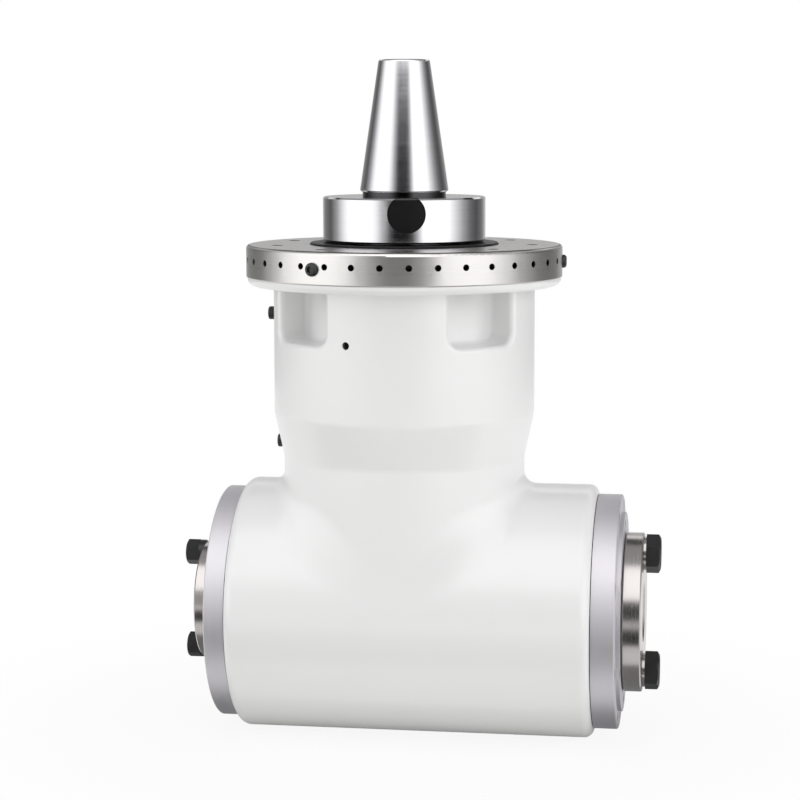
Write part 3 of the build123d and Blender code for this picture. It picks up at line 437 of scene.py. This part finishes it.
def helical_crest(name, mouth, outward, bore_r, depth, pitch, height):
    """The crests of an inside thread, as one closed ridge carried round a helix.

    A point is mouth - outward * s + (side * cos a + up * sin a) * r. Along the ridge the angle a grows by a
    turn for each pitch of depth s. Across it three corners close a triangle: two lie just within the
    bore's wall, half a pitch apart, and the crest between them stands in by the height. The ridge fades
    almost to nothing at both ends, so no cap is needed.
    """
    points_per_turn = 40
    thinnest = 0.02
    outward = Vector(outward).normalized()
    side = outward.orthogonal().normalized()
    up = outward.cross(side)
    turns = depth / pitch - 1
    steps = int(turns * points_per_turn)
    angles = np.linspace(0, turns * 2 * math.pi, steps)
    fade = np.clip(np.minimum(angles, angles[-1] - angles) / (math.pi / 2), thinnest, 1)
    along = np.array([0.25, 0.5, 0.75])
    rise = np.array([-0.05, 1.0, -0.05])
    s = (angles[None, :] / (2 * math.pi) + 0.5 + (along[:, None] - 0.5) * fade) * pitch
    r = bore_r - rise[:, None] * height * fade
    ring = np.cos(angles)[:, None] * np.array(side) + np.sin(angles)[:, None] * np.array(up)
    points = np.array(mouth) - s[..., None] * np.array(outward) + r[..., None] * ring[None]
    return make_mesh(name, points, grid_faces(len(rise), steps, close_rows=True))


def saddle_ridge(name, sizes):
    """The soft blend between the neck and the barrel, as one closed ridge laid round their joint.

    At an angle b from the front, a ball of radius r = side + (front - side) * |cos b| ** fade rests in the
    corner. With R1 and R2 the radii of the neck and the barrel, its centre is c = ((R1 + r) sin b,
    -(R1 + r) cos b, z), where z = sqrt((R2 + r) ** 2 - ((R1 + r) cos b) ** 2) above the output line. It
    touches the neck along n1 = (-sin b, cos b, 0) and the barrel along n2 = -(0, c.y, c.z) / (R2 + r). The
    blend is c + r * n, where n turns evenly from n1 to n2. Three sunk points close each section below.
    """
    sections = 240
    points_across = 15
    neck_r, barrel_r = sizes.neck_radius, sizes.barrel_radius
    turn = np.linspace(0, 2 * math.pi, sections, endpoint=False)
    ball = sizes.side_round + (sizes.front_round - sizes.side_round) * np.abs(np.cos(turn)) ** sizes.fade
    y = -(neck_r + ball) * np.cos(turn)
    z = np.sqrt((barrel_r + ball) ** 2 - y**2)
    level = np.zeros_like(turn)
    centre = np.stack([(neck_r + ball) * np.sin(turn), y, z], axis=-1)[:, None]
    first = np.stack([-np.sin(turn), np.cos(turn), level], axis=-1)[:, None]
    second = -np.stack([level, y, z], axis=-1)[:, None] / (barrel_r + ball)[:, None, None]
    ball = ball[:, None, None]
    between = np.arccos(np.sum(first * second, axis=-1, keepdims=True))
    share = np.linspace(0, 1, points_across)[None, :, None]
    ways = (np.sin((1 - share) * between) * first + np.sin(share * between) * second) / np.sin(between)
    arc = centre + ways * (ball - sizes.proud)
    middle = (first + second) / (2 * np.cos(between / 2))
    corner = centre + middle * ball / np.cos(between / 2)
    sunk = [centre + second * (ball + sizes.sink), corner, centre + first * (ball + sizes.sink)]
    points = np.concatenate([arc, *sunk], axis=1)
    points[..., 2] += output_z
    piece = make_mesh(name, points, grid_faces(*points.shape[:2], close_rows=True, close_columns=True))
    outward = -np.concatenate([ways, second, middle, first], axis=1)
    piece.data.normals_split_custom_set_from_vertices(outward.reshape(-1, 3).tolist())
    return piece


def curved_card(name, radius, start, end, bottom, top):
    """An upright card bent round the head: its angle and its height are the grid's two ways.

    Angles are measured from the front, and grow towards +X.
    """
    rows = 97
    columns = 4
    turn = np.radians(np.linspace(start, end, rows))[:, None]
    height = np.linspace(bottom, top, columns)[None, :]
    turn, height = np.broadcast_arrays(turn, height)
    points = np.stack([radius * np.sin(turn), -radius * np.cos(turn), height], axis=-1)
    return make_mesh(name, points, grid_faces(rows, columns))


def flat_card(name, left, right, near, far, height):
    """A flat level card, as a grid of two rows and two columns."""
    across, deep = np.meshgrid([left, right], [near, far], indexing="ij")
    points = np.stack([across, deep, np.full_like(across, height)], axis=-1)
    return make_mesh(name, points, grid_faces(2, 2))


def glow(name, value, strength=1.0):
    """A stage material that gives off an even light of its own."""
    material, tree = empty_material(name)
    light = add_node(tree, "ShaderNodeEmission", {"Color": rgba(value), "Strength": strength})
    add_node(tree, "ShaderNodeOutputMaterial", {"Surface": light.outputs["Emission"]})
    return material


def only_in_reflections(card):
    """Leave a card out of the picture and of the light, so that only polished steel shows it."""
    card.visible_camera = False
    card.visible_diffuse = False
    card.visible_shadow = False


def softbox(name, level, turn, rise, distance, width, height):
    """A rectangular lamp that faces the head from a turn and a rise, with a set brightness."""
    data = bpy.data.lights.new(name, "AREA")
    data.shape = "RECTANGLE"
    data.size = width
    data.size_y = height
    data.energy = level * width * height * math.pi
    lamp = bpy.data.objects.new(name, data)
    turn, rise = math.radians(turn), math.radians(rise)
    direction = Vector((math.sin(turn) * math.cos(rise), -math.cos(turn) * math.cos(rise), math.sin(rise)))
    aim = Vector((0, 0, output_z / 2))
    lamp.location = aim + direction * distance
    lamp.rotation_euler = direction.to_track_quat("Z", "Y").to_euler()
    # The wall stands in for the lamps in reflections
    lamp.visible_glossy = False
    bpy.context.scene.collection.objects.link(lamp)
    return lamp


class MILLINGHEAD_OT_housing(bpy.types.Operator):
    """Gloss enamel on the housing, and the soft blend between its neck and its barrel"""

    bl_idname = "milling_head.housing"
    bl_label = "Housing enamel"

    def execute(self, context):
        scene = context.scene
        enamel = gloss_enamel(scene.head_finishes.enamel)
        give(enamel, "housing")
        ridge = saddle_ridge("saddle_fillet", scene.head_blend)
        ridge.data.materials.append(enamel)
        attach(ridge, "housing")
        return {"FINISHED"}


class MILLINGHEAD_OT_ring(bpy.types.Operator):
    """Satin ground steel on the index ring and the cap inside it"""

    bl_idname = "milling_head.ring"
    bl_label = "Index ring"

    def execute(self, context):
        tint = context.scene.head_finishes.ring
        # Turned, then ground: broad soft bands across the rim, with hardly a visible line
        ground = lathe_metal(
            "ground_ring_steel",
            tint,
            roughness=0.28,
            spread=0.01,
            mark=0.8 * MM,
            depth=0.001 * MM,
            # Painted shade: the holes' walls and everything below the top face inside the rim are painted
            # nearly black
            painted_shade_at=(rim_r - rim_band, cad_box[0].z, -hole_step),
        )
        give(ground, "index_ring")
        # Turned only: rougher, with lines that just show
        turned = lathe_metal(
            "turned_cap_steel", tint, roughness=0.3, spread=0.03, mark=1.0 * MM, depth=0.008 * MM
        )
        give(turned, "upper_cap")
        return {"FINISHED"}


class MILLINGHEAD_OT_arbor(bpy.types.Operator):
    """Polished steel on the arbor, and its black inserts"""

    bl_idname = "milling_head.arbor"
    bl_label = "Arbor"

    def execute(self, context):
        finishes = context.scene.head_finishes
        # Hardened, ground and polished: hard edged bright and dark bands, as in a mirror
        polished = lathe_metal(
            "polished_taper_steel",
            finishes.arbor,
            roughness=0.13,
            spread=0.03,
            mark=0.9 * MM,
            depth=0.003 * MM,
            # Painted shade: the undercut between the taper and its flange is painted nearly black
            painted_shade_at=(groove_radius + groove_margin, gauge_z - groove_height, gauge_z - groove_step),
        )
        give(polished, "input_arbor")
        # Blackened and flat: no highlight on the face
        black = dark_coat(
            "black_insert", finishes.insert, roughness=0.5, sheen=0.15, grain=0.5 * MM, depth=0.01 * MM
        )
        give(black, "drive_inserts")
        return {"FINISHED"}


class MILLINGHEAD_OT_covers(bpy.types.Operator):
    """Satin turned steel on the end covers and the labyrinth ring"""

    bl_idname = "milling_head.covers"
    bl_label = "End covers"

    def execute(self, context):
        # Turned and bead blasted: an even cool sheen with no sharp reflection
        tint = context.scene.head_finishes.cover
        satin = lathe_metal(
            "satin_cover_steel",
            tint,
            roughness=0.58,
            spread=0.05,
            mark=1.2 * MM,
            depth=0.01 * MM,
            line_z=output_z,
        )
        give(satin, "left_cover", "right_cover", "labyrinth_ring")
        return {"FINISHED"}


class MILLINGHEAD_OT_noses(bpy.types.Operator):
    """Turned steel on the spindle's two noses and the right bolts' washers"""

    bl_idname = "milling_head.noses"
    bl_label = "Spindle noses"

    def execute(self, context):
        # Hardened and finish turned: warm, with a clear bright band and a dark one below it
        tint = context.scene.head_finishes.nose
        turned = lathe_metal(
            "turned_nose_steel",
            tint,
            roughness=0.24,
            spread=0.05,
            mark=1.0 * MM,
            depth=0.008 * MM,
            line_z=output_z,
        )
        give(turned, "output_spindle", "left_nose", "right_bolt_washers")
        return {"FINISHED"}


class MILLINGHEAD_OT_fasteners(bpy.types.Operator):
    """Black oxide on every screw, bolt, plug, nut and clamp washer, and on the left bolts' collars"""

    bl_idname = "milling_head.fasteners"
    bl_label = "Fasteners"

    def execute(self, context):
        # Hot blackened and oiled: nearly black, with a soft sheen along the edges
        tint = context.scene.head_finishes.oxide
        black = dark_coat(
            "black_oxide_steel", tint, roughness=0.36, sheen=0.5, grain=0.6 * MM, depth=0.015 * MM
        )
        kinds = ("_screws", "_plugs", "_nuts", "_nut", "_locknut", "_washers", "_bolts", "_collars")
        names = [name for name in frame["nodes"] if name.endswith(kinds)]
        # These are bright, as the nose that they lie on
        names.remove("right_bolt_washers")
        give(black, *names)
        return {"FINISHED"}


class MILLINGHEAD_OT_seals(bpy.types.Operator):
    """The black seal cover, the lip seals and the gaskets"""

    bl_idname = "milling_head.seals"
    bl_label = "Seals"

    def execute(self, context):
        finishes = context.scene.head_finishes
        # Baked satin black: a dark disc under the flange
        cover = dark_coat(
            "baked_black_cover",
            finishes.seal_cover,
            roughness=0.42,
            sheen=0.2,
            grain=0.8 * MM,
            depth=0.004 * MM,
        )
        give(cover, "seal_cover")
        # Moulded nitrile: dull, with a fine skin
        rubber = dark_coat(
            "nitrile_rubber", finishes.rubber, roughness=0.6, sheen=0.5, grain=0.4 * MM, depth=0.02 * MM
        )
        give(rubber, "input_seal", "right_seal", "left_seal")
        # Pressed fibre sheet: a dull dark line at the joint
        sheet = dark_coat(
            "fibre_gasket", finishes.gasket, roughness=0.8, sheen=0.5, grain=0.3 * MM, depth=0.02 * MM
        )
        give(sheet, "right_gasket", "left_gasket")
        return {"FINISHED"}


class MILLINGHEAD_OT_gears(bpy.types.Operator):
    """The gears, keys, bearings and spacers inside"""

    bl_idname = "milling_head.gears"
    bl_label = "Gears and bearings"

    def execute(self, context):
        finishes = context.scene.head_finishes
        # Case hardened and oiled: grey, with a soft gleam on the flanks
        gear = lathe_metal(
            "oiled_gear_steel", finishes.gear, roughness=0.32, spread=0.06, mark=1.0 * MM, depth=0.01 * MM
        )
        # Ground and lapped: bright and clean
        bright = lathe_metal(
            "lapped_bearing_steel",
            finishes.bearing,
            roughness=0.16,
            spread=0.03,
            mark=0.8 * MM,
            depth=0.003 * MM,
        )
        for name in frame["nodes"]:
            if "gear" in name and not name.endswith("_nut") or name.endswith("_key"):
                give(gear, name)
            if name.endswith(("_race", "_races", "_rollers", "_spacer")):
                give(bright, name)
        return {"FINISHED"}


class MILLINGHEAD_OT_threads(bpy.types.Operator):
    """Cut threads in the air port and in the end of the taper"""

    bl_idname = "milling_head.threads"
    bl_label = "Threads"

    def execute(self, context):
        sizes = context.scene.head_threads
        port, stud = mounts["air_port"], mounts["pull_stud_hole"]
        self.cut("port_thread", port, sizes.port_radius, sizes.port_depth, sizes.port_pitch, "lube_plugs")
        stud_radius, stud_depth = stud["dims"]["r_mm"] * MM, stud["dims"]["length_mm"] * MM
        self.cut("stud_thread", stud, stud_radius, stud_depth, sizes.stud_pitch, "input_arbor")
        return {"FINISHED"}

    def cut(self, name, mount, bore_r, depth, pitch, node):
        """Lay one thread in its hole, in the finish of a node that rides on the same body."""
        outward = Vector(mount["axis"])
        mouth = Vector(mount["pos_m"]) + outward * depth / 2
        height = pitch * bpy.context.scene.head_threads.crest_share
        crest = helical_crest(name, mouth, outward, bore_r, depth, pitch, height)
        crest.data.materials.append(frame["nodes"][node].material_slots[0].material)
        body = next(body for body, nodes in bodies.items() if node in nodes)
        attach(crest, body)


class MILLINGHEAD_OT_stage(bpy.types.Operator):
    """The floor, the lamps, the cards and the camera"""

    bl_idname = "milling_head.stage"
    bl_label = "Studio"

    def execute(self, context):
        studio = context.scene.head_studio
        scene = context.scene
        floor_z = cad_box[0].z - 0.2 * MM
        self.make_floor(studio, floor_z)
        self.make_cards(studio, floor_z)
        self.make_lamps(studio)
        self.make_room(studio, scene)
        self.make_camera(studio, scene)
        scene.view_settings.view_transform = "Standard"
        return {"FINISHED"}

    def seen(self, tree):
        """1 where the camera, a reflection or a clear surface looks, and 0 where light is gathered."""
        rays = add_node(tree, "ShaderNodeLightPath")
        either = add_node(
            tree,
            "ShaderNodeMath",
            {0: rays.outputs["Is Camera Ray"], 1: rays.outputs["Is Glossy Ray"]},
            operation="MAXIMUM",
        )
        every = add_node(
            tree,
            "ShaderNodeMath",
            {0: either.outputs["Value"], 1: rays.outputs["Is Transmission Ray"]},
            operation="MAXIMUM",
        )
        return every.outputs["Value"]

    def make_floor(self, studio, floor_z):
        """A wide pale floor, lifted to white where the camera and polished steel look at it."""
        reach = 30.0
        floor = flat_card("floor", -reach, reach, -reach, reach, floor_z)
        material, tree = empty_material("pale_floor")
        matt = add_node(tree, "ShaderNodeBsdfDiffuse", {"Color": rgba(studio.floor_colour)})
        white = add_node(tree, "ShaderNodeEmission", {"Strength": 1.0})
        place = add_node(tree, "ShaderNodeTexCoord").outputs["Object"]
        level = add_node(tree, "ShaderNodeVectorMath", {0: place, 1: (1, 1, 0)}, operation="MULTIPLY")
        away = add_node(tree, "ShaderNodeVectorMath", {0: level.outputs["Vector"]}, operation="LENGTH")
        lift = add_node(
            tree,
            "ShaderNodeMapRange",
            {
                "Value": away.outputs["Value"],
                "From Min": studio.shadow_start,
                "From Max": studio.shadow_reach,
                "To Min": studio.floor_lift,
            },
            interpolation_type="SMOOTHSTEP",
        )
        share = add_node(
            tree, "ShaderNodeMath", {0: self.seen(tree), 1: lift.outputs["Result"]}, operation="MULTIPLY"
        )
        both = add_node(
            tree,
            "ShaderNodeMixShader",
            {0: share.outputs["Value"], 1: matt.outputs["BSDF"], 2: white.outputs["Emission"]},
        )
        add_node(tree, "ShaderNodeOutputMaterial", {"Surface": both.outputs["Shader"]})
        floor.data.materials.append(material)

    def make_cards(self, studio, floor_z):
        """A wall round the head and cards above and below it, which give the steel its bands."""
        radius = studio.room_radius
        ring_z = 0
        middle_z = 0.92
        ceiling_z = 1.5
        tiers = (
            ("low_wall", low_levels, floor_z, ring_z),
            ("middle_wall", middle_levels, ring_z, middle_z),
            ("high_wall", high_levels, middle_z, ceiling_z),
        )
        for name, levels, bottom, top in tiers:
            wall = curved_card(name, radius, -180, 180, bottom, top)
            wall.data.materials.append(self.wall_light(name + "_light", studio, levels))
            only_in_reflections(wall)

        low_z = floor_z + 1 * MM
        bright_end = -0.35
        grey_end = 1.2
        black = glow("black_card", studio.card_black)
        shade = glow("shade_card", studio.card_shade)
        white = glow("white_card", (1, 1, 1), studio.wall_level)
        grey = glow("grey_card", studio.card_grey)
        # Each card's name, light, left and right, near and far edge, and height
        cards = (
            # On the floor in front: it darkens the lower half of every level cylinder
            ("floor_card", black, (-0.9, 0.9), (-0.5, -0.17), low_z),
            # Under the head, in place of the floor's own shade
            ("under_card", shade, (-0.22, 0.22), (-0.08, 0.12), low_z),
            # Above the front: it lights the top of each level cylinder
            ("bright_card", white, (-1.5, 1.5), (-radius, bright_end), ceiling_z),
            # Above the head and behind it: they close that bright band
            ("ceiling_card", grey, (-2.0, 2.0), (bright_end, grey_end), ceiling_z),
            ("rear_card", black, (-2.0, 2.0), (grey_end, radius), ceiling_z),
        )
        for name, light, across, deep, height in cards:
            card = flat_card(name, *across, *deep, height)
            card.data.materials.append(light)
            only_in_reflections(card)

    def wall_light(self, name, studio, levels):
        """The wall's light by its angle from the front, with bright stretches and dark gaps."""
        material, tree = empty_material(name)
        place = add_node(tree, "ShaderNodeTexCoord").outputs["Object"]
        parts = add_node(tree, "ShaderNodeSeparateXYZ", {"Vector": place})
        front = add_node(tree, "ShaderNodeMath", {0: parts.outputs["Y"], 1: -1.0}, operation="MULTIPLY")
        turn = add_node(
            tree,
            "ShaderNodeMath",
            {0: parts.outputs["X"], 1: front.outputs["Value"]},
            operation="ARCTAN2",
        )
        share = add_node(
            tree,
            "ShaderNodeMapRange",
            {"Value": turn.outputs["Value"], "From Min": -math.pi, "From Max": math.pi},
        )
        ramp = add_node(tree, "ShaderNodeValToRGB", {"Fac": share.outputs["Result"]})
        stops = ramp.color_ramp.elements
        while len(stops) < len(levels):
            stops.new(0.5)
        for stop, (degrees, level) in zip(stops, levels):
            grey = "%02X" % round(level * 255)
            stop.position = (degrees + 180) / 360
            stop.color = rgba(linear(grey * 3))
        shine = {"Color": ramp.outputs["Color"], "Strength": studio.wall_level}
        light = add_node(tree, "ShaderNodeEmission", shine)
        add_node(tree, "ShaderNodeOutputMaterial", {"Surface": light.outputs["Emission"]})
        return material

    def make_lamps(self, studio):
        """A softbox on each side and one above."""
        level = studio.lamp_level
        in_front_of_wall = 0.1
        distance = studio.room_radius - in_front_of_wall
        softbox("right_softbox", level, turn=56, rise=11, distance=distance, width=2.4, height=2.4)
        softbox("left_softbox", level, turn=-67, rise=11, distance=distance, width=1.7, height=2.4)
        softbox("top_softbox", level, turn=-8, rise=66, distance=distance, width=1.4, height=0.9)

    def make_room(self, studio, scene):
        """A white room for the camera and for reflections, and an even light for everything else."""
        world = bpy.data.worlds.new("white_room")
        scene.world = world
        world.use_nodes = True
        tree = world.node_tree
        tree.nodes.clear()
        level = add_node(
            tree,
            "ShaderNodeMapRange",
            {"Value": self.seen(tree), "To Min": studio.sky_level, "To Max": 1.0},
        )
        white = {"Color": (1, 1, 1, 1), "Strength": level.outputs["Result"]}
        sky = add_node(tree, "ShaderNodeBackground", white)
        add_node(tree, "ShaderNodeOutputWorld", {"Surface": sky.outputs["Background"]})

    def make_camera(self, studio, scene):
        """The camera that matches the photograph's view."""
        data = bpy.data.cameras.new("camera")
        data.sensor_width = 36.0
        data.lens = studio.lens
        camera = bpy.data.objects.new("camera", data)
        camera.location = studio.camera_place
        camera.rotation_euler = studio.camera_turn
        scene.collection.objects.link(camera)
        scene.camera = camera


operators = (
    MILLINGHEAD_OT_housing,
    MILLINGHEAD_OT_ring,
    MILLINGHEAD_OT_arbor,
    MILLINGHEAD_OT_covers,
    MILLINGHEAD_OT_noses,
    MILLINGHEAD_OT_fasteners,
    MILLINGHEAD_OT_seals,
    MILLINGHEAD_OT_gears,
    MILLINGHEAD_OT_threads,
    MILLINGHEAD_OT_stage,
)


class MILLINGHEAD_PT_panel(bpy.types.Panel):
    """The milling head's finishes, threads and studio"""

    bl_label = "Milling head"
    bl_space_type = "VIEW_3D"
    bl_region_type = "UI"
    bl_category = "Milling head"

    def draw(self, context):
        for operator in operators:
            self.layout.operator(operator.bl_idname)
        for group in groups:
            values = getattr(context.scene, group)
            box = self.layout.box()
            for name in values.bl_rna.properties.keys():
                if name not in ("rna_type", "name"):
                    box.prop(values, name)


groups = {
    "head_finishes": MillingHeadFinishes,
    "head_threads": MillingHeadThreads,
    "head_blend": MillingHeadBlend,
    "head_studio": MillingHeadStudio,
}


def register():
    """Register the classes and hang their values on the scene."""
    for item in (*groups.values(), *operators, MILLINGHEAD_PT_panel):
        bpy.utils.register_class(item)
    for name, group in groups.items():
        setattr(bpy.types.Scene, name, bpy.props.PointerProperty(type=group))


def unregister():
    """Take the values and the classes away again."""
    for name in groups:
        delattr(bpy.types.Scene, name)
    for item in (MILLINGHEAD_PT_panel, *reversed(operators), *groups.values()):
        bpy.utils.unregister_class(item)


def main():
    """Register, then build every piece and the stage in order."""
    register()
    steps = bpy.ops.milling_head
    steps.housing()
    steps.ring()
    steps.arbor()
    steps.covers()
    steps.noses()
    steps.fasteners()
    steps.seals()
    steps.gears()
    steps.threads()
    steps.stage()


if __name__ == "__main__":
    main()
